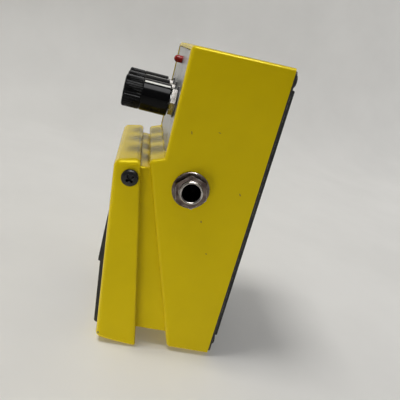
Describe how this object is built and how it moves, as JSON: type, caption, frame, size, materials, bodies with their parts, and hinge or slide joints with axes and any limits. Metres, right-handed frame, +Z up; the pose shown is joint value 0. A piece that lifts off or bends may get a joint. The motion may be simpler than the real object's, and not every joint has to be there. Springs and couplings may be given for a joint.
{
  "type": "compact effects pedal",
  "caption": "Compact die-cast effects pedal with a sprung hinged foot treadle, small control knobs on a rear panel, an indicator lamp, side jacks and a rubber base.",
  "frame": {"origin": "on the ground, under the middle of the pedal's length and width", "axes": "+Z up, +Y from the player towards the control panel, +X towards the input jack"},
  "size_m": [0.0796, 0.129, 0.0628],
  "materials": {
    "yellow_paint": "gloss",
    "panel_metal": "brushed",
    "black_rubber": "matte",
    "knob_plastic": "gloss",
    "black_screw": "satin",
    "nickel": "polished",
    "steel": "satin",
    "brass_parts": "satin",
    "nylon": "matte",
    "black_plastic": "matte",
    "lamp_red": "gloss",
    "circuit_board": "satin",
    "capacitor_sleeve": "gloss",
    "film_capacitor": "gloss",
    "resistor_body": "satin",
    "battery_wrap": "satin",
    "dark_plate": "satin",
    "wire_insulation": "satin",
    "switch_plastic": "matte"
  },
  "bodies": {
    "case": {"main_case": "yellow_paint", "control_panel": "panel_metal", "return_spring": "steel", "spring_seat": "nylon", "hinge_screws": "black_screw", "foot_switch": "black_plastic", "switch_board": "circuit_board", "switch_screws": "steel", "switch_leads": "wire_insulation", "battery": "battery_wrap", "battery_terminals": "nickel", "battery_snap": "black_plastic", "battery_leads": "wire_insulation", "main_board": "circuit_board", "board_screws": "steel", "electrolytic_capacitors": "capacitor_sleeve", "film_capacitors": "film_capacitor", "amplifier_chips": "black_plastic", "resistors": "resistor_body", "control_board": "circuit_board", "board_header": "brass_parts", "pot_bodies": "steel", "pot_bushings": "steel", "pot_washers": "dark_plate", "pot_nuts": "nickel", "led": "lamp_red", "led_holder": "black_plastic", "input_jack": "black_plastic", "output_jack": "black_plastic", "jack_bushings": "nickel", "jack_contacts": "brass_parts", "jack_washers": "nickel", "jack_nuts": "nickel", "dc_jack": "black_plastic", "dc_pin": "nickel", "base_plate": "dark_plate", "base_screws": "black_screw", "base_rubber": "black_rubber", "insulating_sheet": "nylon"},
    "treadle": {"treadle": "yellow_paint", "treadle_pad": "black_rubber", "switch_actuator": "black_rubber", "guide_bush": "brass_parts", "guide_clip": "steel", "hinge_bushes": "nylon"},
    "thumbscrew": {"thumbscrew": "nickel", "thumbscrew_clip": "steel"},
    "plunger": {"switch_plunger": "switch_plastic"},
    "left_knob": {"knob_left": "knob_plastic", "shaft_left": "steel"},
    "center_knob": {"knob_center": "knob_plastic", "shaft_center": "steel"},
    "right_knob": {"knob_right": "knob_plastic", "shaft_right": "steel"}
  },
  "joints": [
    {"name": "treadle_press", "type": "hinge", "parent": "case", "child": "treadle", "pos_m": [0, 0.0106, 0.0534], "axis": [1, 0, 0], "range_deg": [0, 3.5], "stiffness_Nm_per_rad": 3, "springref_deg": -11.46, "deforming": ["return_spring"]},
    {"name": "thumbscrew_turn", "type": "hinge", "parent": "treadle", "child": "thumbscrew", "pos_m": [0, -0.0065, 0.05839], "axis": [0, -0.0942, 0.9956], "range_deg": [0, 360]},
    {"name": "plunger_travel", "type": "slide", "parent": "case", "child": "plunger", "axis": [0, 0, 1], "range_m": [-0.00372, 0]},
    {"name": "left_knob_turn", "type": "hinge", "parent": "case", "child": "left_knob", "pos_m": [-0.019, 0.04, 0.053], "axis": [0, 0, 1], "range_deg": [-165, 135]},
    {"name": "center_knob_turn", "type": "hinge", "parent": "case", "child": "center_knob", "pos_m": [0, 0.04, 0.053], "axis": [0, 0, 1], "range_deg": [-150, 150]},
    {"name": "right_knob_turn", "type": "hinge", "parent": "case", "child": "right_knob", "pos_m": [0.019, 0.04, 0.053], "axis": [0, 0, 1], "range_deg": [-121, 179]}
  ],
  "couplings": [
    {"joint": "plunger_travel", "follows": "treadle_press", "m_per_rad": -0.0607}
  ]
}
